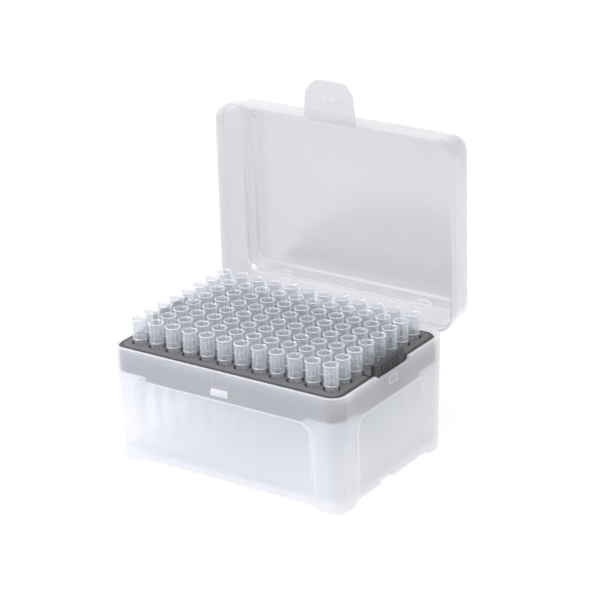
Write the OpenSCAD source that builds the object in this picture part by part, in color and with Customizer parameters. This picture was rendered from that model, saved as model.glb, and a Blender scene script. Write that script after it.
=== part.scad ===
// A box of pipette tips: a moulded base, a rack plate that snaps into it, twelve columns of eight tips
// and a hinged lid with a folding latch. The lid stands open. Millimetres, +Z up, +X along the long side,
// the latch side towards -Y. The origin is the middle of the base's outline, on the surface it stands on.

/* [Tips] */
// Distance between neighbouring tips
pitch = 9; // [8:0.1:12]
// Length of a tip
tip_len = 50.8; // [42:0.1:62]
// Height of a tip's rim above the rack plate
tip_rise = 11.1; // [8:0.1:15]
// Outer diameter of a tip's rim
tip_rim_d = 6.95; // [6.8:0.05:7.8]
// Outer diameter of the collar below the rim
tip_collar_d = 6.2; // [5.9:0.05:6.6]
// Outer diameter of the tip just below its seat
tip_neck_d = 5.2; // [4.4:0.05:5.4]
// Diameter of the mouth that a pipette's nozzle presses into
tip_mouth_d = 5.2; // [4.6:0.05:5.3]
// Depth of the mouth's straight part
tip_mouth_depth = 3; // [2:0.1:6]
// Wall at the neck of a tip
tip_wall = 0.5; // [0.35:0.05:0.7]
// Outer diameter of the dispensing end
tip_end_d = 0.8; // [0.7:0.05:1.4]

/* [Base] */
// Distance from the end columns of tips to the base's outer face
end_margin = 10.6; // [9.8:0.1:20]
// Distance from the front and back rows of tips to the base's outer face
side_margin = 11.1; // [10:0.1:20]
// Room between the ends of the tips and the floor
tip_room = 8.55; // [4:0.05:20]
// Outer corner radius at the rim
base_r = 7.65; // [6.5:0.05:10]
// Wall thickness
base_wall = 1.6; // [1.3:0.05:2.2]
// How far each wall leans in from the rim to the feet
base_lean = 1.6; // [0.8:0.05:2]
// Depth of the sunk wall panels at their top edge
panel_sink = 1.8; // [1.4:0.05:2.4]
// Distance from the rim's corner to the panels of the long walls
post_w = 16.8; // [15:0.1:26]
// Distance from the rim's corner to the panels of the short walls
post_d = 18.1; // [17:0.1:24]
// Height of the feet below the wall's lower edge
foot_h = 1.7; // [1:0.1:3]
// Length of each foot along the long walls
foot_w = 15.8; // [12:0.1:24]
// Length of each foot along the short walls
foot_d = 14.3; // [12:0.1:20]
// Depth of the recess under the floor that takes the lid of a box below
stack_depth = 2.6; // [2.2:0.1:5]

/* [Rack] */
// Drop of the rack plate below the base's rim
rack_drop = 0.45; // [0.3:0.05:1.5]
// Gap between the rack and the base's wall at the rim
rack_gap = 0.7; // [0.6:0.05:1]
// Thickness of the rack plate
plate_t = 3; // [2.4:0.1:4]
// Thickness of the skirt round the plate
skirt_t = 1.5; // [1.2:0.05:2]
// Diameter of the recess round each tip
well_d = 7.45; // [6.9:0.05:7.7]
// Depth of that recess, down to the tip's seat
well_depth = 1.5; // [1:0.1:1.8]
// Height of the finger grips above the plate
grip_h = 4.2; // [3:0.1:6]
// Length of a finger grip
grip_w = 22.8; // [18:0.1:26]
// Thickness of a finger grip
grip_t = 1.95; // [1.6:0.05:2.4]

/* [Lid] */
// Room between the rims of the tips and the closed lid
lid_room = 3.75; // [2:0.05:10]
// How far the lid slips over the base
lid_overlap = 3.4; // [2.4:0.1:4]
// Gap between the lid's lip and the base
lid_gap = 0.2; // [0.15:0.05:0.4]
// Thickness of the lip
lip_t = 0.9; // [0.8:0.05:1.4]
// Thickness of the lid's walls and top
lid_wall = 1.1; // [0.9:0.05:1.6]
// Height of the raised field on top
field_rise = 1; // [0.6:0.1:1.8]
// Distance from the lip to the edge of the raised field
field_border = 8.4; // [7:0.1:14]
// Angle between the closed and the open lid
open_angle = 90.5; // [88:0.5:91]

/* [Hinge] */
// Distance from the middle to each hinge
hinge_x = 37; // [20:0.5:45]
// Radius of the hinge bar
bar_r = 1; // [0.8:0.05:1.1]
// Running clearance round the hinge bar
bar_play = 0.05; // [0.03:0.01:0.1]
// Length of the hook that grips the bar
hook_w = 6; // [4:0.5:9]

/* [Latch] */
// Length of the latch tab beyond the lip
tab_len = 17.8; // [15:0.1:22]
// Width of the tab at its root
tab_w = 26.8; // [20:0.1:34]
// Width of the tab at its tip
tab_tip_w = 20.3; // [18:0.1:24]
// Thickness of the tab
tab_t = 1; // [0.8:0.05:1.3]
// Distance from the lip to the fold above the finger lip
tab_bend = 12.7; // [11.5:0.1:14]
// How far the catch stands out of the base
catch_out = 1; // [0.8:0.05:1.2]

/* [Hidden] */
cols = 12;
rows = 8;
tip_ribs = 10;
tip_rib_w = 0.5;
tip_rib_out = 0.15;
tip_rib_low = 0.7;
tip_rib_high = 1.7;
tip_ring_rise = 2.2;
tip_ring_out = 0.06;
tip_ring_h = 0.3;
tip_taper = 0.1;
tip_rim_h = 0.55;
tip_rim_slope = 0.35;
tip_rim_edge = 0.1;
tip_lead = 0.8;
tip_lead_w = 0.35;
cut = 1;
round_fn = 48;
corner_fn = 32;

function column_name(c) = str("tips_column_", c < 10 ? "0" : "", c);

// Base: its outer size, made to the grid and the length of the tips
floor_t = base_wall;
floor_top = stack_depth + floor_t;
base_w = (cols - 1) * pitch + 2 * end_margin;
base_d = (rows - 1) * pitch + 2 * side_margin;
base_h = floor_top + tip_room + tip_len - tip_rise + rack_drop;

// Base: heights and the planes of its walls and panels
function lean_at(z) = base_lean * (base_h - z) / base_h;
lean_angle = atan(base_lean / base_h);
panel_w = base_w - 2 * post_w;
panel_d = base_d - 2 * post_d;
ledge_below_plate = 13.45;
ledge_z = base_h - rack_drop - ledge_below_plate;
panel_slope = 3.9;
panel_slope_top = 2;
panel_below_ledge = 1;
panel_back_over = 2.73;
panel_lip = 0.3;
panel_over = 0.1;
panel_corner_r = 6;
panel_edge_in = 1;
panel_wall = 1.5;
foot_slope = 1.6;
foot_inset = 2.8;
vent_w = 9.6;
vent_h = 1.35;
vent_y = -4.2;

// Rack: outline, seats and the snap that holds it in the base
rack_inset = base_wall + rack_gap;
rack_w = base_w - 2 * rack_inset;
rack_d = base_d - 2 * rack_inset;
rack_r_extra = 0.85;
rack_r = base_r - rack_inset + rack_r_extra;
plate_top = base_h - rack_drop;
plate_edge = 0.7;
skirt_corner_up = 2;
skirt_corner_w = 17;
seat_gap = 0.15;
slit_w = 1.4;
slit_reach = 5.2;
tongue_w = grip_w + 2;
rib_columns = [-3, 0, 3];
rib_t = 1.2;
rib_h = 5;
rib_z = plate_top - plate_t - rib_h;
snap_w = 7;
snap_h = 2.6;
snap_out = rack_gap + 0.6;
snap_play = 0.25;
snap_below_rim = 5.2;
snap_z = base_h - snap_below_rim;
grip_notch_h = 2;
grip_notch_gap = 1.6;
grip_notch_w = grip_w + 2 * grip_notch_gap;
grip_notch_r = 1.9;
dimple_cols = 7;
dimple_rows = 3;
dimple_pitch_y = 2.08;
dimple_pitch_z = 1.6;
dimple_w = 0.9;
dimple_depth = 0.4;
dimple_rise = 0.6;
dimple_z = plate_top + dimple_rise;

// Lid, drawn closed: the lip slips over the rim, and the walls step in above it
lip_w = base_w + 2 * (lid_gap + lip_t);
lip_d = base_d + 2 * (lid_gap + lip_t);
lip_r = base_r + lid_gap + lip_t;
lip_z = base_h - lid_overlap;
band_above_rim = 0.5;
lip_band = lid_overlap + band_above_rim;
rim_gap = 0.1;
lid_step = 0.9;
lid_lean = 0.8;
lid_edge_r = 2.8;
field_r = 3;
lid_pad_w = 7.3;
lid_pad_d = 2.5;
lid_pad_rise = 0.4;
lid_pad_r = 0.8;
lid_pad_inset = 4.15;
lid_top = plate_top + tip_rise + lid_room + lid_wall;

// Hinge: bars between lugs on the base, hooks on the lid
hole_r = bar_r + bar_play;
hole_gap = 0.2;
hinge_out = hole_r + hole_gap;
hinge_y = lip_d / 2 + hinge_out;
hinge_below_lip = 0.25;
hinge_z = lip_z - hinge_below_lip;
hook_t = 0.85;
hook_r = hole_r + hook_t;
hook_bite = 0.3;
hook_mouth = 2 * bar_r - hook_bite;
hook_root = 0.25;
lug_t = 1.6;
lug_gap = 0.3;
lug_over = 0.1;
lug_round = bar_r + lug_over;
lug_back = 1.7;
lug_h = 7;
lug_back_h = 2.4;
lug_low = 0.05;
stop_gap = 0.1;

// Latch, drawn straight out from the closed lid
film_r = 0.4;
film_t = 0.6;
film_len = 2.7;
film_gap = 0.05;
tab_root = film_gap + film_r;
tab_y = -(lip_d / 2 + tab_root);
tab_z = lip_z;
tab_tip_r = 4.5;
tab_bend_w = 24;
tab_bend_angle = 8;
hook_pad_w = 7.8;
hook_pad_h = 2.5;
hook_pad_out = 0.9;
hook_pad_reach = 7.35;
catch_w = 8.4;
catch_h = 3;
catch_face_h = 1.5;
catch_play = 0.15;
relief_w = 7.6;
relief_t = 0.35;
relief_above_catch = 1;

// The catch's lower face, just above the pad when the tab is folded down
catch_z = tab_z - hook_pad_reach + catch_play;

// A rectangle with round corners
module round_rect(w, d, r) {
    offset(r = r, $fn = corner_fn) square([w - 2 * r, d - 2 * r], center = true);
}

// The base's leaning, round-cornered form between two heights, drawn in by an inset
module base_form(z0, z1, inset) {
    hull()
        for (x = [-1, 1], y = [-1, 1])
            translate([x * (base_w / 2 - base_r), y * (base_d / 2 - base_r), z0])
                cylinder(h = z1 - z0, r1 = base_r - inset - lean_at(z0), r2 = base_r - inset - lean_at(z1),
                         $fn = corner_fn);
}

// The foot and the two round upper corners of an upright outline, whose hull is the outline
module arch_corners(w, top, r) {
    translate([-w / 2, -cut]) square([w, cut]);
    for (x = [-1, 1]) translate([x * (w / 2 - r), top - r]) circle(r = r, $fn = corner_fn);
}

// Stands a flat outline up, facing -Y, with its thickness running from y = 0 towards -Y
module upright(t) {
    rotate([90, 0, 0]) linear_extrude(t) children();
}

// What is cut from a wall facing -Y to sink its panel: a narrow outline on the panel's own plane
// that widens to an outline just outside the leaning wall
module panel_cut(w, wall_y) {
    hull() {
        translate([0, -(wall_y - lean_at(ledge_z) - panel_sink), 0])
            upright(panel_lip) arch_corners(w, ledge_z - panel_below_ledge, panel_corner_r - panel_edge_in);
        translate([0, -(wall_y - base_lean + panel_over), 0]) rotate([lean_angle, 0, 0])
            upright(cut) arch_corners(w + 2 * panel_slope, ledge_z + panel_slope_top - panel_below_ledge,
                                      panel_corner_r);
    }
}

// The same panel seen from inside: the wall stands in, and its top is the ledge that carries the rack
module panel_back(w, wall_y) {
    back_y = wall_y - lean_at(ledge_z) - panel_sink - panel_wall;
    translate([0, -back_y, 0]) upright(wall_y - back_y) translate([-w / 2 - panel_back_over, 0])
        square([w + 2 * panel_back_over, ledge_z]);
}

// The gap between two feet, along a wall facing -Y
module foot_gap(w, reach) {
    translate([0, reach, 0]) upright(2 * reach) polygon([
        [-w / 2 - foot_slope, -cut], [-w / 2 - foot_slope, 0], [-w / 2, foot_h],
        [w / 2, foot_h], [w / 2 + foot_slope, 0], [w / 2 + foot_slope, -cut]]);
}

// A wall's finger notch over the rack's grip, on the side facing +X
module grip_notch() {
    translate([base_w / 2 - 2 * rack_inset, 0, base_h]) rotate([90, 0, 90]) linear_extrude(3 * rack_inset)
        union() {
            translate([-grip_notch_w / 2, 0]) square([grip_notch_w, cut]);
            for (y = [-1, 1]) translate([y * (grip_notch_w / 2 - grip_notch_r), 0])
                circle(r = grip_notch_r, $fn = round_fn);
            translate([-grip_notch_w / 2 + grip_notch_r, -grip_notch_h])
                square([grip_notch_w - 2 * grip_notch_r, grip_notch_h]);
        }
}

// The pocket inside a wall facing +X that the rack's snap springs into
module snap_pocket() {
    pocket_w = snap_w + 2 * snap_play;
    pocket_h = snap_h + 2 * snap_play;
    translate([rack_w / 2, -pocket_w / 2, snap_z - pocket_h / 2])
        cube([snap_out + snap_play, pocket_w, pocket_h]);
}

// The catch on the front wall: flat below, where the latch hooks, and sloped above
module latch_catch() {
    face_y = base_d / 2 - lean_at(catch_z) + catch_out;
    root_y = base_d / 2 - base_wall;
    translate([-catch_w / 2, 0, 0]) rotate([90, 0, 90]) linear_extrude(catch_w) polygon([
        [-root_y, catch_z], [-face_y, catch_z], [-face_y, catch_z + catch_face_h],
        [-face_y + catch_out, catch_z + catch_h], [-root_y, catch_z + catch_h]]);
}

// One hinge bar between its two lugs, on the wall facing +Y. Each lug is low where the lip passes over
// it, round about the bar, and flat behind it, where the open lid comes to rest
module hinge_bracket() {
    root_y = base_d / 2 - base_wall;
    stop_z = hinge_z + hinge_out - stop_gap;
    reach = hook_w / 2 + lug_gap + lug_t;
    for (x = [-reach, reach - lug_t]) translate([x, 0, 0]) rotate([90, 0, 90]) linear_extrude(lug_t) union() {
        polygon([[root_y, hinge_z - lug_h], [root_y, hinge_z - lug_low], [hinge_y, hinge_z - lug_low],
                 [hinge_y, stop_z], [hinge_y + lug_back, stop_z],
                 [hinge_y + lug_back, hinge_z - lug_back_h]]);
        translate([hinge_y, hinge_z]) circle(r = lug_round, $fn = round_fn);
    }
    translate([-reach + lug_t / 2, hinge_y, hinge_z]) rotate([0, 90, 0])
        cylinder(h = 2 * reach - lug_t, r = bar_r, $fn = round_fn);
}

module base() {
    color([0.88, 0.88, 0.92, 0.6]) union() {
        difference() {
            base_form(0, base_h, 0);
            difference() {
                base_form(floor_top, base_h + cut, base_wall);
                for (a = [0, 180]) rotate([0, 0, a]) panel_back(panel_w, base_d / 2);
                for (a = [90, 270]) rotate([0, 0, a]) panel_back(panel_d, base_w / 2);
            }
            for (a = [0, 180]) rotate([0, 0, a]) panel_cut(panel_w, base_d / 2);
            for (a = [90, 270]) rotate([0, 0, a]) panel_cut(panel_d, base_w / 2);
            translate([0, 0, -cut]) linear_extrude(stack_depth + cut)
                round_rect(base_w - 2 * (base_lean + foot_inset), base_d - 2 * (base_lean + foot_inset),
                           base_r - base_lean - foot_inset);
            foot_gap(base_w - 2 * foot_w, base_d);
            rotate([0, 0, 90]) foot_gap(base_d - 2 * foot_d, base_w);
            for (a = [0, 180]) rotate([0, 0, a]) {
                grip_notch();
                snap_pocket();
                translate([base_w / 2 - base_lean - foot_inset, vent_y - vent_w / 2, -cut])
                    cube([base_w, vent_w, foot_h + vent_h + cut]);
            }
            translate([-relief_w / 2, -base_d / 2 - cut, catch_z + catch_h + relief_above_catch])
                cube([relief_w, relief_t + cut, base_h]);
        }
        latch_catch();
        for (x = [-hinge_x, hinge_x]) translate([x, 0, 0]) hinge_bracket();
    }
}

// Places something at every tip's position
module at_tips() {
    for (c = [1:cols], r = [1:rows])
        translate([(c - (cols + 1) / 2) * pitch, (r - (rows + 1) / 2) * pitch, 0]) children();
}

// The seat below a tip: a wide recess, and a hole that the neck passes through
module tip_well() {
    translate([0, 0, plate_top - well_depth]) cylinder(h = well_depth + cut, d = well_d, $fn = round_fn);
    translate([0, 0, plate_top - plate_t - cut])
        cylinder(h = plate_t + cut, r = tip_neck_d / 2 + seat_gap, $fn = round_fn);
}

// The grip and its springy tongue, on the side facing +X
module grip() {
    translate([rack_w / 2 - grip_t, -grip_w / 2, plate_top - plate_t])
        cube([grip_t, grip_w, plate_t + grip_h]);
    translate([rack_w / 2 - skirt_t, -snap_w / 2, snap_z - snap_h / 2])
        cube([skirt_t + snap_out, snap_w, snap_h]);
}

// The grid of small square dimples on the outer face of the grip
module grip_dimples() {
    for (c = [1:dimple_cols], r = [1:dimple_rows])
        translate([rack_w / 2 - dimple_depth,
                   (c - (dimple_cols + 1) / 2) * dimple_pitch_y - dimple_w / 2,
                   dimple_z + (r - (dimple_rows + 1) / 2) * dimple_pitch_z - dimple_w / 2])
            cube([dimple_depth + cut, dimple_w, dimple_w]);
}

// The two slits that free the tongue from the plate and the skirt
module grip_slits() {
    for (y = [-tongue_w / 2 - slit_w, tongue_w / 2])
        translate([rack_w / 2 - slit_reach, y, 0]) cube([slit_reach + cut, slit_w, base_h]);
}

module rack() {
    ledge_skirt = plate_top - ledge_z;
    color([0.3, 0.3, 0.31]) difference() {
        union() {
            translate([0, 0, ledge_z]) hull() {
                linear_extrude(ledge_skirt - plate_edge) round_rect(rack_w, rack_d, rack_r);
                linear_extrude(ledge_skirt)
                    round_rect(rack_w - 2 * plate_edge, rack_d - 2 * plate_edge, rack_r - plate_edge);
            }
            for (a = [0, 180]) rotate([0, 0, a]) grip();
        }
        difference() {
            translate([0, 0, ledge_z - cut]) linear_extrude(ledge_skirt - plate_t + cut)
                round_rect(rack_w - 2 * skirt_t, rack_d - 2 * skirt_t, rack_r - skirt_t);
            for (x = rib_columns) translate([x * pitch - rib_t / 2, -rack_d / 2, rib_z])
                cube([rib_t, rack_d, rib_h + cut]);
            translate([-rack_w / 2, -rib_t / 2, rib_z]) cube([rack_w, rib_t, rib_h + cut]);
        }
        at_tips() tip_well();
        for (x = [-1, 1], y = [-1, 1]) translate([x * rack_w / 2, y * rack_d / 2, ledge_z])
            cube([2 * skirt_corner_w, 2 * skirt_corner_w, 2 * skirt_corner_up], center = true);
        for (a = [0, 180]) rotate([0, 0, a]) {
            grip_slits();
            grip_dimples();
        }
    }
}

// One tip, its rim up at the height it stands at in the rack: a hollow cone with a collar that has a
// fine ring just above the plate, ribs above the ring, and a beaded rim
module tip() {
    seat = tip_len - tip_rise - well_depth;
    ring = tip_len - tip_rise + tip_ring_rise;
    collar_r = tip_collar_d / 2;
    foot_r = collar_r - tip_taper;
    rim_r = tip_rim_d / 2;
    mouth_r = tip_mouth_d / 2;
    translate([0, 0, plate_top + tip_rise - tip_len]) union() {
        rotate_extrude($fn = round_fn) polygon([
            [tip_end_d / 4, 0], [tip_end_d / 2, 0],
            [tip_neck_d / 2, seat], [foot_r, seat],
            [foot_r, ring - tip_ring_h], [collar_r + tip_ring_out, ring - tip_ring_h / 2],
            [collar_r + tip_ring_out, ring + tip_ring_h / 2], [foot_r, ring + tip_ring_h],
            [collar_r, tip_len - tip_rim_h - tip_rim_slope], [rim_r, tip_len - tip_rim_h],
            [rim_r, tip_len - tip_rim_edge], [rim_r - tip_rim_edge, tip_len],
            [mouth_r + tip_lead_w, tip_len], [mouth_r, tip_len - tip_lead],
            [mouth_r, tip_len - tip_lead - tip_mouth_depth],
            [tip_neck_d / 2 - tip_wall, seat]]);
        for (i = [1:tip_ribs]) rotate([0, 0, i * 360 / tip_ribs])
            translate([collar_r - tip_wall / 2, -tip_rib_w / 2, ring + tip_rib_low])
                cube([tip_wall / 2 + tip_rib_out, tip_rib_w, tip_len - tip_rib_high - ring - tip_rib_low]);
    }
}

module tips_column(c) {
    color([0.93, 0.94, 0.96, 0.5])
        for (r = [1:rows]) translate([(c - (cols + 1) / 2) * pitch, (r - (rows + 1) / 2) * pitch, 0]) tip();
}

// Turns what is drawn on the closed lid about the hinge, to the open lid
module opened() {
    translate([0, hinge_y, hinge_z]) rotate([-open_angle, 0, 0])
        translate([0, -hinge_y, -hinge_z]) children();
}

// A round-cornered form whose walls lean in from r0 at z0 to a rounded shoulder at z1
module lid_form(inset, z0, z1, edge_r) {
    reach = lip_r - inset;
    r_top = reach - lid_lean;
    hull()
        for (x = [-1, 1], y = [-1, 1])
            translate([x * (lip_w / 2 - lip_r), y * (lip_d / 2 - lip_r), 0]) {
                translate([0, 0, z0]) cylinder(h = z1 - z0 - edge_r, r1 = reach, r2 = r_top, $fn = corner_fn);
                translate([0, 0, z1 - edge_r]) rotate_extrude($fn = corner_fn)
                    intersection() {
                        translate([r_top - edge_r, 0]) circle(r = edge_r, $fn = corner_fn);
                        square([r_top, edge_r]);
                    }
            }
}

// The raised field on top of the lid, or the hollow under it
module lid_field(inset, z1) {
    field_w = lip_w - 2 * (field_border + inset);
    field_d = lip_d - 2 * (field_border + inset);
    hull() {
        translate([0, 0, z1 - 2 * field_rise]) linear_extrude(field_rise)
            round_rect(field_w + 2 * field_rise, field_d + 2 * field_rise, field_r + field_rise);
        translate([0, 0, z1 - field_rise]) linear_extrude(field_rise) round_rect(field_w, field_d, field_r);
    }
}

// The hook that snaps over a hinge bar: a ring with a mouth below, merged into the lip
module lid_hook() {
    translate([-hook_w / 2, hinge_y, hinge_z]) rotate([90, 0, 90]) linear_extrude(hook_w) difference() {
        union() {
            circle(r = hook_r, $fn = round_fn);
            translate([-hinge_out - lip_t / 2, hook_root])
                square([hinge_out + lip_t / 2, hook_r - hook_root]);
        }
        circle(r = hole_r, $fn = round_fn);
        translate([-hook_mouth / 2, -2 * hook_r]) square([hook_mouth, 2 * hook_r]);
    }
}

module lid() {
    shoulder_z = lid_top - field_rise;
    rim_z = base_h + rim_gap;
    color([0.88, 0.88, 0.92, 0.6]) opened() union() {
        difference() {
            union() {
                translate([0, 0, lip_z]) linear_extrude(lip_band) round_rect(lip_w, lip_d, lip_r);
                lid_form(lid_step, lip_z + lip_band - cut, shoulder_z, lid_edge_r);
                lid_field(0, lid_top);
                for (x = [-hinge_x, hinge_x])
                    translate([x, lip_d / 2 - lid_pad_inset, shoulder_z - lid_wall / 2])
                        linear_extrude(lid_wall / 2 + lid_pad_rise)
                            round_rect(lid_pad_w, lid_pad_d, lid_pad_r);
            }
            translate([0, 0, lip_z - cut]) linear_extrude(rim_z - lip_z + cut)
                round_rect(lip_w - 2 * lip_t, lip_d - 2 * lip_t, lip_r - lip_t);
            lid_form(lid_step + lid_wall, rim_z - cut, shoulder_z - lid_wall, lid_edge_r - lid_wall);
            lid_field(lid_wall / 2, lid_top - lid_wall);
        }
        for (x = [-hinge_x, hinge_x]) translate([x, 0, 0]) lid_hook();
    }
}

// The tab seen from its flat side, its fold at y = 0 and its tip towards -Y: a body that narrows, and a
// finger lip with two round outer corners
module tab_outline() {
    bend = tab_bend - tab_root;
    end = tab_len - tab_root;
    polygon([[-tab_w / 2, 0], [tab_w / 2, 0], [tab_bend_w / 2, -bend], [-tab_bend_w / 2, -bend]]);
    hull() {
        translate([-tab_bend_w / 2, -bend]) square([tab_bend_w, tab_t / 4]);
        for (x = [-1, 1]) translate([x * (tab_tip_w / 2 - tab_tip_r), tab_tip_r - end])
            circle(r = tab_tip_r, $fn = corner_fn);
    }
}

// The tab seen from its edge: a thin film at the fold, the body, and the finger lip that stands out
module tab_section() {
    bend = tab_bend - tab_root;
    end = tab_len - tab_root;
    rise = (end - bend) * tan(tab_bend_angle);
    polygon([
        [0, film_t / 2], [-film_len, film_t / 2], [-film_len, tab_t / 2], [-bend, tab_t / 2],
        [-end, tab_t / 2 + rise], [-end, rise - tab_t / 2], [-bend, -tab_t / 2],
        [-film_len, -tab_t / 2], [-film_len, -film_t / 2], [0, -film_t / 2]]);
}

// The latch tab, straight out from the closed lid, with the round edge it turns on at the film fold and
// the pad that hooks under the catch
module latch() {
    color([0.9, 0.9, 0.93, 0.6]) opened() translate([0, tab_y, tab_z]) union() {
        translate([-tab_w / 2, 0, 0]) rotate([0, 90, 0]) cylinder(h = tab_w, r = film_r, $fn = round_fn);
        intersection() {
            translate([0, 0, -tab_len / 2]) linear_extrude(tab_len) tab_outline();
            translate([-tab_w / 2, 0, 0]) rotate([90, 0, 90]) linear_extrude(tab_w) tab_section();
        }
        translate([-hook_pad_w / 2, -hook_pad_reach - hook_pad_h, -tab_t / 2 - hook_pad_out])
            cube([hook_pad_w, hook_pad_h, hook_pad_out + tab_t / 2]);
    }
}

base();
rack();
lid();
latch();
for (c = [1:cols]) tips_column(c);
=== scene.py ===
import math

import bmesh
import bpy
import numpy as np
from mathutils import Matrix, Vector


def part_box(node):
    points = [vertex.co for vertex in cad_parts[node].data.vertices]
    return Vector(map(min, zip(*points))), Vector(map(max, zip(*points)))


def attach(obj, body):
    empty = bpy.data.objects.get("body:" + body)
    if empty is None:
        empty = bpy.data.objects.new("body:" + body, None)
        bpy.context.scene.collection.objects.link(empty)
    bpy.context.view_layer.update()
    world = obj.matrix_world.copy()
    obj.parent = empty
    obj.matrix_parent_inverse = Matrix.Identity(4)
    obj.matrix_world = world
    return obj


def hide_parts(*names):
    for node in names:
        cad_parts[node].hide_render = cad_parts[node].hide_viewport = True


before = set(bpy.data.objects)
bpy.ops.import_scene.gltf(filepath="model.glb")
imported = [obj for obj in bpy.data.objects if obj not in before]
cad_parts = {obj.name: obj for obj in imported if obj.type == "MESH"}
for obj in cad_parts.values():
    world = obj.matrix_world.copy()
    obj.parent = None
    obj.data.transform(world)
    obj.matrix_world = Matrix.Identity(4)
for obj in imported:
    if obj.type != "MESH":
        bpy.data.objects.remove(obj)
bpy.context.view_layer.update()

scene = bpy.context.scene
scene.view_settings.view_transform = "Standard"


# ---- Camera ----------------------------------------------------------------------------------
# A long lens looks at the open box from beyond its front right corner, a little from above and
# with a slight roll, so that the long walls keep nearly parallel edges.
CAMERA_AZIMUTH = math.radians(34.94)
CAMERA_ELEVATION = math.radians(22.09)
CAMERA_ROLL = math.radians(-2.02)
CAMERA_DISTANCE = 1.0985
CAMERA_AIM = Vector((-0.0008, 0.02004, 0.06355))
CAMERA_LENS = 151.3
CAMERA_SENSOR = 36

back = Vector((math.sin(CAMERA_AZIMUTH) * math.cos(CAMERA_ELEVATION),
               -math.cos(CAMERA_AZIMUTH) * math.cos(CAMERA_ELEVATION),
               math.sin(CAMERA_ELEVATION)))
level = Vector((0, 0, 1)).cross(back).normalized()
upright = back.cross(level)
right = level * math.cos(CAMERA_ROLL) + upright * math.sin(CAMERA_ROLL)
up = upright * math.cos(CAMERA_ROLL) - level * math.sin(CAMERA_ROLL)

camera = bpy.data.objects.new("camera", bpy.data.cameras.new("camera"))
camera.data.lens = CAMERA_LENS
camera.data.sensor_width = CAMERA_SENSOR
camera.matrix_world = Matrix.Translation(CAMERA_AIM + back * CAMERA_DISTANCE) @ Matrix(
    (right, up, back)).transposed().to_4x4()
scene.collection.objects.link(camera)
scene.camera = camera


# ---- Studio ----------------------------------------------------------------------------------
# The box stands on a wide sheet of white paper under an even white surround and soft boxes. Paper
# and surround picture as white but light the box only plainly, and the paper keeps a pale shadow.
class Wire:
    """A value on a node's output. Sums and products of wires add Math nodes to their tree."""

    def __init__(self, finish, socket):
        self.finish, self.socket = finish, socket

    def reckon(self, operation, *values):
        return self.finish.add("ShaderNodeMath", {"operation": operation}, dict(enumerate(values)))

    def __add__(self, other):
        return self.reckon("ADD", self, other)

    def __sub__(self, other):
        return self.reckon("SUBTRACT", self, other)

    def __rsub__(self, other):
        return self.reckon("SUBTRACT", other, self)

    def __mul__(self, other):
        return self.reckon("MULTIPLY", self, other)

    def __rtruediv__(self, other):
        return self.reckon("DIVIDE", other, self)

    def __pow__(self, other):
        return self.reckon("POWER", self, other)

    def __rpow__(self, other):
        return self.reckon("POWER", other, self)

    __radd__, __rmul__ = __add__, __mul__

    def either(self, other):
        """The larger of two values, which is the union of two masks."""
        return self.reckon("MAXIMUM", self, other)

    def step(self, low, high):
        """0 below low, 1 above high, and a smooth rise between them."""
        return self.finish.add(
            "ShaderNodeMapRange", {"interpolation_type": "SMOOTHSTEP"},
            {"Value": self, "From Min": low, "From Max": high})


class Finish:
    """A material, or the world, with the nodes that its look is worked out by."""

    def __init__(self, owner):
        self.owner = owner
        owner.use_nodes = True
        self.tree = owner.node_tree
        self.tree.nodes.clear()

    def add(self, kind, settings=(), inputs=(), output=0):
        """Adds a node, makes its settings, then sets or links its inputs. Returns one output."""
        node = self.tree.nodes.new(kind)
        for name, value in dict(settings).items():
            setattr(node, name, value)
        for key, value in dict(inputs).items():
            if isinstance(value, Wire):
                self.tree.links.new(value.socket, node.inputs[key])
            else:
                node.inputs[key].default_value = value
        return Wire(self, node.outputs[output])

    def where(self):
        """The point on the piece in metres, in the frame that the box was made in."""
        return self.add("ShaderNodeTexCoord", output="Object")

    def along(self, axis):
        """The point's own X, Y or Z in metres. Z is its height above the bench."""
        return self.add("ShaderNodeSeparateXYZ", {}, {"Vector": self.where()}, axis)

    def stretched(self, scale):
        """The point with each axis scaled by itself, for a grain that runs one way."""
        return self.add("ShaderNodeMapping", {}, {"Vector": self.where(), "Scale": scale})

    def noise(self, scale, detail, at=None):
        """Soft noise from 0 to 1, with about scale lumps to the metre."""
        return self.add("ShaderNodeTexNoise", {}, {
            "Vector": at or self.where(), "Scale": scale, "Detail": detail})

    def tint(self, share, first, second):
        """A colour from first to second, by share."""
        return self.add("ShaderNodeMix", {"data_type": "RGBA"}, {0: share, 6: first, 7: second}, 2)

    def bump(self, height, distance):
        """A normal that leans as if height stood out of the surface by distance in metres."""
        return self.add("ShaderNodeBump", {}, {"Height": height, "Distance": distance})

    def show(self, shader):
        """Shows the shader on the surface, or all round in a world, and returns the owner."""
        kind = "World" if isinstance(self.owner, bpy.types.World) else "Material"
        last = self.tree.nodes.new(f"ShaderNodeOutput{kind}")
        self.tree.links.new(shader.socket, last.inputs["Surface"])
        return self.owner


def seen_directly(finish):
    """1 for rays that picture what they meet, which are camera, mirror and see-through rays."""
    kinds = ("Is Camera Ray", "Is Glossy Ray", "Is Transmission Ray")
    camera_ray, mirror_ray, clear_ray = (
        finish.add("ShaderNodeLightPath", output=kind) for kind in kinds)
    return camera_ray.either(mirror_ray).either(clear_ray)


WHITE = (1, 1, 1, 1)
AMBIENT = 0.5
PAPER_SIZE = 8.0
PAPER_ALBEDO = 0.92
PAPER_GLOW = 0.95

# Light crosses dozens of thin see-through walls on its way through the tips.
scene.cycles.max_bounces = 32
scene.cycles.diffuse_bounces = 24
scene.cycles.transmission_bounces = 32
scene.cycles.transparent_max_bounces = 96

surround = Finish(bpy.data.worlds.new("surround"))
scene.world = surround.owner
surround.show(surround.add("ShaderNodeBackground", {}, {
    "Color": WHITE, "Strength": seen_directly(surround) * (1 - AMBIENT) + AMBIENT}))

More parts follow.
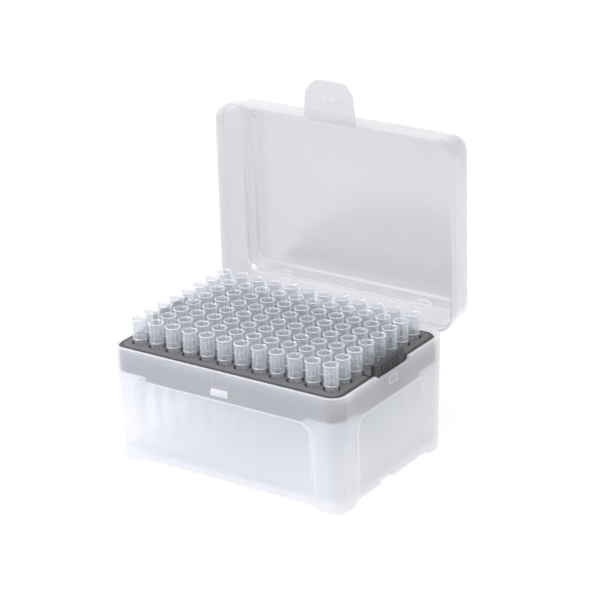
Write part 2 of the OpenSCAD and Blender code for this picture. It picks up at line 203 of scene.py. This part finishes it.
half = PAPER_SIZE / 2
floor_mesh = bpy.data.meshes.new("floor")
floor_mesh.from_pydata(
    [(-half, -half, 0), (half, -half, 0), (half, half, 0), (-half, half, 0)], [], [(0, 1, 2, 3)])
floor = bpy.data.objects.new("floor", floor_mesh)
scene.collection.objects.link(floor)
paper = Finish(bpy.data.materials.new("white_paper"))
sheet = paper.add("ShaderNodeBsdfDiffuse", {}, {"Color": (PAPER_ALBEDO,) * 3 + (1,)})
glow = paper.add("ShaderNodeEmission", {}, {"Color": WHITE, "Strength": 1.0})
floor_mesh.materials.append(paper.show(paper.add("ShaderNodeMixShader", {}, {
    0: seen_directly(paper) * PAPER_GLOW, 1: sheet, 2: glow})))

BOX_CENTRE = (0.0, 0.02, 0.06)


def soft_box(name, place, size, power, colour=(1, 1, 1)):
    """A square lamp of size metres and power watts at a place, turned towards the box."""
    lamp = bpy.data.lights.new(name, "AREA")
    lamp.shape, lamp.size, lamp.energy, lamp.color = "SQUARE", size, power, colour
    holder = bpy.data.objects.new(name, lamp)
    turn = (Vector(BOX_CENTRE) - Vector(place)).to_track_quat("-Z", "Y")
    holder.matrix_world = Matrix.Translation(place) @ turn.to_matrix().to_4x4()
    scene.collection.objects.link(holder)


soft_box("key_lamp", (-1.3, -0.5, 0.8), size=0.4, power=14.5, colour=(0.915, 0.925, 1.0))
soft_box("front_lamp", (-0.3, -1.6, 0.7), size=0.9, power=11, colour=(0.87, 0.885, 1.0))
soft_box("right_lamp", (1.5, -0.1, 0.6), size=0.9, power=1.8)
soft_box("top_lamp", (0.2, -0.2, 1.6), size=0.9, power=15.5, colour=(1.0, 0.98, 0.97))
soft_box("spark_lamp", (-0.85, 0.66, 1.18), size=0.2, power=3)


# ---- Base ------------------------------------------------------------------------------------
# The base is one moulding in natural polypropylene with a frosted face, so it looks milky, and what
# stands right behind its walls shows through. In each short wall a fine raised line goes round the
# window that the rack's snap drops into.
def plastic(finish, **inputs):
    """A Principled shader with the refraction of polypropylene."""
    named = {name.replace("_", " "): value for name, value in inputs.items()}
    return finish.add("ShaderNodeBsdfPrincipled", {}, {"IOR": 1.49, **named})


def see_through(finish, colour=WHITE):
    """Lets light pass straight on and tints it."""
    return finish.add("ShaderNodeBsdfTransparent", {}, {"Color": colour})


def mixed(finish, share, first, second):
    """A mix of two shaders, with the second by share."""
    return finish.add("ShaderNodeMixShader", {}, {0: share, 1: first, 2: second})


def slant(finish):
    """1 less the cosine between the surface's normal and the ray that meets it."""
    return finish.add("ShaderNodeLayerWeight", {}, {"Blend": 0.5}, "Facing")


def haze(finish, clear):
    """The share that one face of a wall stops, when it lets the share clear through square on. A
    slanting ray has a longer way through the wall, so what comes through is clear to the power of
    one over the cosine."""
    return 1 - clear ** (1 / (1 - slant(finish)))


def sheen(finish, least):
    """The share that a face mirrors, which rises from the least square on to all of it at a
    grazing angle, by the fifth power of the slant."""
    return least + (1 - least) * slant(finish) ** 5


def milky(finish, colour, passed, stopped, onward, straight, gloss, least=0.04, normal=None):
    """A face of a milky wall. What isn't stopped passes by the straight shader. What is stopped is
    scattered, the share onward to the far side and the rest back, and the gloss lies over both."""
    bent = {"Normal": normal} if normal else {}
    back = plastic(finish, Base_Color=colour, Roughness=0.9, Specular_IOR_Level=0.0, **bent)
    on = finish.add("ShaderNodeBsdfTranslucent", {}, {"Color": passed, **bent})
    body = mixed(finish, stopped, straight, mixed(finish, onward, back, on))
    mirror = finish.add("ShaderNodeBsdfGlossy", {}, {"Color": WHITE, "Roughness": gloss, **bent})
    return mixed(finish, sheen(finish, least), body, mirror)


WELD = 1e-6
EDGE_ANGLE = math.radians(20)
SMOOTH_ANGLE = math.radians(40)
FLAT_ANGLE = math.radians(0.05)


def as_moulded(node, body, edge, finish, places=()):
    """The node's own shape with its loose triangles joined, its flat faces whole and its curves
    smooth. Its edges are rounded by edge metres at most. One width holds for the whole piece, and
    its closest edges keep it to about 0.00002. The attribute crest is 1 on the rounding and inside
    the boxes of places. The piece takes the node's place."""
    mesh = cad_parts[node].data.copy()
    mesh.name = f"{node}_moulding"
    mesh.materials.clear()
    mesh.materials.append(finish)
    shape = bmesh.new()
    shape.from_mesh(mesh)
    bmesh.ops.remove_doubles(shape, verts=shape.verts, dist=WELD)
    bmesh.ops.dissolve_limit(shape, angle_limit=FLAT_ANGLE, verts=shape.verts, edges=shape.edges)
    crest = shape.loops.layers.float.new("crest")
    if edge:
        edges = [seam for seam in shape.edges if seam.calc_face_angle(0) > EDGE_ANGLE]
        rounding = bmesh.ops.bevel(shape, geom=edges, offset=edge, offset_type="OFFSET", segments=2,
                                   profile=0.5, affect="EDGES", clamp_overlap=True)
        for face in rounding["faces"]:
            for corner in face.loops:
                corner[crest] = 1.0
    for face in shape.faces:
        face.smooth = True
        middle = face.calc_center_median()
        for low, high in places:
            if all(a < c < b for a, b, c in zip(low, high, middle)):
                for corner in face.loops:
                    corner[crest] = 1.0
    for seam in shape.edges:
        seam.smooth = seam.calc_face_angle(0) < SMOOTH_ANGLE
    shape.to_mesh(mesh)
    shape.free()
    piece = bpy.data.objects.new(f"{node}_moulding", mesh)
    scene.collection.objects.link(piece)
    piece.modifiers.new("normals", "WEIGHTED_NORMAL").keep_sharp = True
    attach(piece, body)
    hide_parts(node)


def crests(finish):
    """1 on the rounded edges and marked places of a moulding, from its attribute crest. The
    finishes paint their highlights by it, and the rack its shade.
    """
    return finish.add("ShaderNodeAttribute", {"attribute_name": "crest"}, output="Fac")


FOOT_HEIGHT = 0.004
FOOT_FADE = 0.014


def frosted_plastic():
    """Milky plastic: slow clouds in its colour, a fine frosted grain and a soft sheen. It scatters
    blue light back and lets the warmer rest pass. Its edges are painted whiter, a painted
    highlight, and towards the foot its colour is painted darker, a painted shade, and the wall
    stops more light there."""
    finish = Finish(bpy.data.materials.new("frosted_plastic"))
    clouds = finish.noise(scale=38, detail=3)
    grain = finish.noise(scale=2600, detail=2)
    edges = crests(finish)
    # The share of painted shade, half at the foot and gone above FOOT_FADE; it also stops more
    # light.
    foot = 0.5 - 0.5 * finish.along("Z").step(FOOT_HEIGHT, FOOT_FADE)
    wall_colour = finish.tint(clouds, (0.87, 0.90, 1.0, 1), (0.91, 0.935, 1.0, 1))
    painted_foot_shade = (0.70, 0.72, 0.78, 1)
    # The edges' white is a painted highlight and the foot's dark colour is painted shade.
    return finish.show(milky(
        finish,
        colour=finish.tint(edges * 0.7, finish.tint(foot, wall_colour, painted_foot_shade), WHITE),
        passed=(1.0, 0.99, 0.995, 1),
        stopped=haze(finish, clear=0.73).either(foot).either(edges * 0.8),
        onward=0.57,
        straight=see_through(finish),
        gloss=0.35 + 0.1 * clouds,
        normal=finish.bump(grain, distance=0.00002)))


# The front lip of the catch under the latch's pad, painted whiter as a painted highlight where its
# small faces gather light.
CATCH = ((-0.0044, -0.0440, 0.0421), (0.0044, -0.0423, 0.0454))
BASE_EDGE = 0.0002
base_finish = frosted_plastic()
as_moulded("base", "box", BASE_EDGE, base_finish, [CATCH])


def ring_faces(rows, turns):
    """Faces of a grid that closes on itself both ways, facing outwards."""
    row, turn = np.meshgrid(np.arange(rows), np.arange(turns), indexing="ij")
    next_row, next_turn = (row + 1) % rows, (turn + 1) % turns
    corners = (row * turns + turn, row * turns + next_turn, next_row * turns + next_turn,
               next_row * turns + turn)
    return np.stack(corners, -1).reshape(-1, 4)


def piece_of(name, copies, faces, crest, body, finish):
    """A smooth piece of like shapes: the points of every copy, then the four-cornered faces and
    the crest attribute that each copy has."""
    count, size = copies.shape[:2]
    mesh = bpy.data.meshes.new(name)
    mesh.from_pydata(copies.reshape(-1, 3), [],
                     (faces + np.arange(count)[:, None, None] * size).reshape(-1, 4))
    mesh.attributes.new("crest", "FLOAT", "POINT").data.foreach_set("value", np.tile(crest, count))
    mesh.shade_smooth()
    mesh.materials.append(finish)
    piece = bpy.data.objects.new(name, mesh)
    scene.collection.objects.link(piece)
    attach(piece, body)
    return piece


CORNER_POINTS = 6
LINE_POINTS = 8


def raised_line(size, corner, line):
    """A raised line round a rounded rectangle: how far along it, up it and out of the wall each
    point is, and the faces. A circle of the line's radius is carried along the rectangle."""
    quarter = np.linspace(0, np.pi / 2, CORNER_POINTS)
    turn = (np.arange(4)[:, None] * np.pi / 2 + quarter).ravel()
    away = np.stack([np.cos(turn), np.sin(turn)], -1)
    side = np.array([(1, 1), (-1, 1), (-1, -1), (1, -1)]).repeat(CORNER_POINTS, 0)
    path = side * (np.array(size) / 2 - corner) + corner * away
    around = np.linspace(0, -2 * np.pi, LINE_POINTS, endpoint=False)
    flat = path[:, None] + line * np.cos(around)[None, :, None] * away[:, None]
    out = np.broadcast_to(line * np.sin(around), flat.shape[:2])
    return (*flat.reshape(-1, 2).T, out.ravel()), ring_faces(len(path), len(around))


WINDOW_SIZE = (0.0064, 0.0031)
WINDOW_ROUND = 0.0006
WINDOW_LINE = 0.00016
WINDOW_AT = (0.05987, -0.0006, 0.0477)
WINDOW_LEAN = 0.0167

# The line leans in as it rises and the wall leans out, so the line fades into the wall at its top.
(along, up, out), faces = raised_line(WINDOW_SIZE, WINDOW_ROUND, WINDOW_LINE)
right_line = np.stack([out - WINDOW_LEAN * up, along, up], -1) + WINDOW_AT
left_line = right_line * (-1, -1, 1)
# The whole line is painted whiter through its crest, a painted highlight.
piece_of("base_snap_windows", np.stack([right_line, left_line]), faces, np.ones(len(right_line)),
         "box", base_finish)


# ---- Rack ------------------------------------------------------------------------------------
# The rack is one moulding in dark grey plastic with a fine spark-eroded grain. It drops into the
# base, and its two springy tongues snap under the rim.
RACK_HALF = (0.0578, 0.0403)
RACK_CORNER = 0.0062
PLATE_TOP = 0.05245
BORDER = 0.002
BORDER_FADE = 0.0002

# Boxes round the two finger grips, one in each short side.
GRIPS = [((0.0568, -0.012, 0.040), (0.060, 0.012, 0.060)),
         ((-0.060, -0.012, 0.040), (-0.0568, 0.012, 0.060))]


def plate_border(finish):
    """1 on a border round the top of the plate, where it runs down to its rounded edge and the
    shade of the gap between the plate and the base's wall is painted. The place is told by how far
    a point lies past the rectangle that joins the centres of the corners."""
    past = []
    for axis, half_side in zip("XY", RACK_HALF):
        place = finish.along(axis)
        past.append((place.either(0 - place) - (half_side - RACK_CORNER)).either(0) ** 2)
    reach = (past[0] + past[1]) ** 0.5
    inner = RACK_CORNER - BORDER
    top = finish.along("Z").step(PLATE_TOP - 2 * BORDER_FADE, PLATE_TOP - BORDER_FADE / 2)
    return reach.step(inner - BORDER_FADE, inner + BORDER_FADE) * top


def dark_plastic():
    """Grey plastic with a fine matt grain. The grips and the plate's border are painted darker, a
    painted shade of the grips' upright faces and of the gap at the plate's edge, and the grips are
    smoother."""
    finish = Finish(bpy.data.materials.new("dark_plastic"))
    grain = finish.noise(scale=3200, detail=3)
    clouds = finish.noise(scale=60, detail=2)
    grips = crests(finish)
    matt = finish.tint(
        grain * 0.7 + clouds * 0.3, (0.092, 0.090, 0.088, 1), (0.133, 0.130, 0.127, 1))
    # Painted shade on the grips and the plate's border.
    painted_shade = (0.036, 0.038, 0.042, 1)
    return finish.show(plastic(
        finish,
        Base_Color=finish.tint(grips.either(plate_border(finish)), matt, painted_shade),
        Roughness=0.55 + 0.12 * grain - 0.1 * grips,
        Normal=finish.bump(grain, distance=0.00003)))


as_moulded("rack", "box", 0, dark_plastic(), GRIPS)


# ---- Tips ------------------------------------------------------------------------------------
# Each tip is a thin clear cone with a ribbed collar and a beaded rim, moulded in polypropylene. A
# column of eight stands in its seats in the rack, as an eight-channel pipette takes them.
COLUMNS = 12
ROWS = 8
WALL = 0.0005
END_RADIUS = 0.0004
WAIST_RADIUS = 0.00143
WAIST_WALL = 0.0004
NECK_RADIUS = 0.0026
COLLAR_RADIUS = 0.0031
TAPER = 0.0001
SEAT_BELOW_RIM = 0.0126
RING_BELOW_RIM = 0.0089
RING_FOOT = 0.0003
RING_OUT = 0.00008
RIBS = 10
POINTS_PER_RIB = 6
RIB_HEIGHT = 0.00015
RIB_SHARPNESS = 6
RIB_CREST = 0.55
RIB_END = 0.0003
RIBS_ABOVE_RING = 0.0007
RIBS_BELOW_RIM = 0.0017
BEAD_BELOW_RIM = 0.00055
BEAD_FOOT = 0.00035
BEAD_ROUND = 0.00012
LAND = 0.0001
LEAD_WIDTH = 0.00035
LEAD_DEPTH = 0.0008
LEAD_ROUND = 0.00003
LEAD_MID_SHARE = 0.7
LEAD_MID_DEPTH = 0.00025
MOUTH_RADIUS = 0.0026
MOUTH_STRAIGHT = 0.003


def ribbed_tip(low, high, rim_radius):
    """Points of one tip on a grid of its profile by its turn, and how much of a crest each is. The
    profile runs up the outside, over the rim and down the inside. The ribs add a power of a raised
    cosine to the collar's radius, and the ring, the ribs and the rim's two edges are crests."""
    waist = (low + high - SEAT_BELOW_RIM) / 2
    seat = high - SEAT_BELOW_RIM
    foot = COLLAR_RADIUS - TAPER
    ring = high - RING_BELOW_RIM
    ring_radius = COLLAR_RADIUS + RING_OUT
    ribs_top = high - RIBS_BELOW_RIM
    bead = high - BEAD_BELOW_RIM
    lead = MOUTH_RADIUS + LEAD_WIDTH
    profile = np.array([  # radius, height, share of the ribs, share of a crest
        (END_RADIUS / 2, low, 0, 0),
        (END_RADIUS, low, 0, 0),
        (WAIST_RADIUS, waist, 0, 0),
        (NECK_RADIUS, seat, 0, 0),
        (foot, seat, 0, 0),
        (foot, ring - RING_FOOT, 0, 0),
        (ring_radius, ring - RING_FOOT / 2, 0, 1),
        (ring_radius, ring + RING_FOOT / 2, 0, 1),
        (foot, ring + RING_FOOT, 0, 0),
        (foot, ring + RIBS_ABOVE_RING, 1, 0),
        (COLLAR_RADIUS, ribs_top - RIB_END, 1, 0),
        (COLLAR_RADIUS, ribs_top, 0, 0),
        (COLLAR_RADIUS, bead - BEAD_FOOT, 0, 0),
        (rim_radius, bead, 0, 0.25),
        (rim_radius, high - BEAD_ROUND, 0, 0.35),
        (rim_radius - BEAD_ROUND / 3, high - BEAD_ROUND / 3, 0, 1),
        (rim_radius - BEAD_ROUND, high, 0, 0.6),
        (lead + LAND, high, 0, 0),
        (lead, high - LEAD_ROUND, 0, 0.7),
        (MOUTH_RADIUS + LEAD_WIDTH * LEAD_MID_SHARE, high - LEAD_MID_DEPTH, 0, 0),
        (MOUTH_RADIUS, high - LEAD_DEPTH, 0, 0),
        (MOUTH_RADIUS, high - LEAD_DEPTH - MOUTH_STRAIGHT, 0, 0),
        (NECK_RADIUS - WALL, seat, 0, 0),
        (WAIST_RADIUS - WAIST_WALL, waist, 0, 0)])
    radius, height, ribbed, crest = profile.T[:, :, None]
    turn = np.arange(RIBS * POINTS_PER_RIB) * (2 * np.pi / (RIBS * POINTS_PER_RIB))
    rib = (0.5 + 0.5 * np.cos(RIBS * turn)) ** RIB_SHARPNESS
    radius = radius + ribbed * rib * RIB_HEIGHT
    points = np.stack([radius * np.cos(turn), radius * np.sin(turn), height + 0 * turn], -1)
    return points, crest + ribbed * rib * RIB_CREST


# The height over which the tip's look changes from under the plate to above it.
THICK_FROM = 0.036
THICK_TO = 0.048


def clear_plastic():
    """Clear plastic with a faint blue cast. Its scattered colour is a dark grey-blue, a painted
    shade for the dark rack seen through its curved walls. It is whiter and mirrors more where a
    rib, the ring or the rim is thick, partly for the thicker plastic and partly a painted
    highlight, and it is thinner and clearer in the cone below the plate."""
    finish = Finish(bpy.data.materials.new("clear_plastic"))
    cast = finish.noise(scale=500, detail=2, at=finish.stretched((1, 1, 0.15)))
    edges = crests(finish)
    thick = 0.15 + 0.85 * finish.along("Z").step(THICK_FROM, THICK_TO)
    # A dark grey-blue, painted shade for the dark rack seen through the tips.
    colour = finish.tint(cast, (0.55, 0.58, 0.64, 1), (0.63, 0.66, 0.715, 1))
    return finish.show(milky(
        finish,
        # The ribs, the ring and the rim are painted whiter, partly a painted highlight.
        colour=finish.tint(edges, colour, WHITE),
        passed=(1.0, 0.99, 0.98, 1),
        stopped=(haze(finish, clear=0.84) * thick).either(edges * 0.65),
        onward=0.35,
        straight=see_through(finish, colour=(0.965, 0.97, 0.98, 1)),
        gloss=0.05,
        least=(edges * 0.3).either(0.04)))


tip_finish = clear_plastic()
for number in range(1, COLUMNS + 1):
    column = f"tips_column_{number:02d}"
    low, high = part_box(column)
    rim_radius = (high.x - low.x) / 2
    one, crest = ribbed_tip(low.z, high.z, rim_radius)
    middles = np.linspace(low.y + rim_radius, high.y - rim_radius, ROWS)
    places = np.stack([np.full(ROWS, (low.x + high.x) / 2), middles, np.zeros(ROWS)], -1)
    tips = piece_of(
        f"{column}_tips", one.reshape(1, -1, 3) + places[:, None], ring_faces(*crest.shape),
        crest.ravel(), "box", tip_finish)
    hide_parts(column)


# ---- Lid -------------------------------------------------------------------------------------
# The lid is one thin moulding in polypropylene, polished inside and out, so it is cloudy but not
# milky. Its lip slips over the base, two hooks snap on the hinge bars, and the mould's cores that
# form the hooks leave a fine raised line inside the lid.
LID_EDGE = 0.0002


def cloudy_plastic():
    """Thin cloudy plastic with slow flow marks and a glossy face. It greys what is seen through it,
    a painted shade for the grey surround seen through the lid, except at the edges, which are
    clearer and mirror more, a painted highlight."""
    finish = Finish(bpy.data.materials.new("cloudy_plastic"))
    flow = finish.noise(scale=30, detail=3, at=finish.stretched((1, 1, 0.5)))
    edges = crests(finish)
    # The grey is painted shade for the surround seen through the lid.
    grey = see_through(finish, colour=(0.785, 0.788, 0.806, 1))
    return finish.show(milky(
        finish,
        colour=finish.tint(flow, (0.84, 0.84, 0.885, 1), (0.89, 0.89, 0.93, 1)),
        passed=(1.0, 0.985, 0.96, 1),
        stopped=haze(finish, clear=0.8) * (1 - 0.5 * edges),
        onward=0.5,
        straight=mixed(finish, edges, grey, see_through(finish)),
        gloss=0.14 + 0.1 * flow + 0.15 * edges,
        least=(edges * 0.2).either(0.125)))


lid_finish = cloudy_plastic()
as_moulded("lid", "lid", LID_EDGE, lid_finish)

CORE_MARK_AT = (0.037, 0.06185, 0.0551)
CORE_MARK_SIZE = (0.0062, 0.0020)
CORE_MARK_ROUND = 0.0007
CORE_MARK_LINE = 0.00022

# The line is thick enough to look milky, so it has the frosted finish, and all of it is painted
# whiter, partly for its thickness and partly a painted highlight.
(along, up, out), faces = raised_line(CORE_MARK_SIZE, CORE_MARK_ROUND, CORE_MARK_LINE)
right_mark = np.stack([along, -out, up], -1) + CORE_MARK_AT
left_mark = right_mark - (2 * CORE_MARK_AT[0], 0, 0)
piece_of("lid_core_marks", np.stack([left_mark, right_mark]), faces, np.ones(len(right_mark)),
         "lid", base_finish)


# ---- Latch -----------------------------------------------------------------------------------
# The latch tab is moulded on to the lid's lip, in the lid's own plastic. It folds at a thin film,
# and its pad hooks under the catch on the base.
LATCH_EDGE = 0.00015
as_moulded("latch", "latch", LATCH_EDGE, lid_finish)
